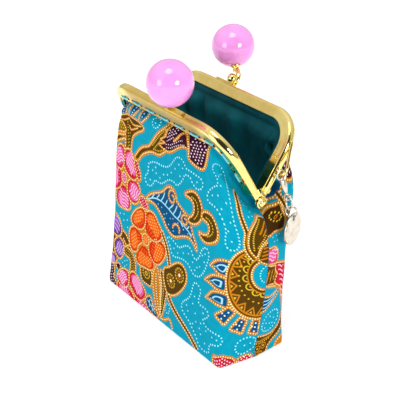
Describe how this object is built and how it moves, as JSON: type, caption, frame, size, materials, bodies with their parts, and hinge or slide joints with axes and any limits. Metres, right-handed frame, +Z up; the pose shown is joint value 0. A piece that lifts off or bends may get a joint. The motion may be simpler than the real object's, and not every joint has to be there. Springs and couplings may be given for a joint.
{
  "type": "kiss-lock frame purse",
  "caption": "Small boxed clutch purse in batik-style printed cotton, lined, standing open on a gold sew-in kiss-lock frame with glossy ball clasps and a hanging disc charm.",
  "frame": {"origin": "middle of the flat base, on the surface it stands on", "axes": "+X along the purse's width to the side with the charm, -Y to the front panel, +Z up"},
  "size_m": [0.1086, 0.076, 0.134],
  "materials": {
    "batik_cotton": "matte woven cotton with a wax-resist style print",
    "lining_cotton": "matte woven cotton, plain dark teal",
    "gold": "polished gold plating with satin inner walls",
    "pink_ball": "high gloss",
    "pale_metal": "pale champagne plating, softly hammered disc"
  },
  "bodies": {
    "root": {"front_panel": "batik_cotton", "back_panel": "batik_cotton", "lining": "lining_cotton", "front_frame": "gold", "back_frame": "gold", "front_ball": "pink_ball", "back_ball": "pink_ball", "hinge_rivet_right": "gold", "hinge_rivet_left": "gold", "charm_clasp": "pale_metal", "charm_link_upper": "pale_metal", "charm_link_lower": "pale_metal", "charm_disc": "pale_metal"}
  },
  "joints": []
}
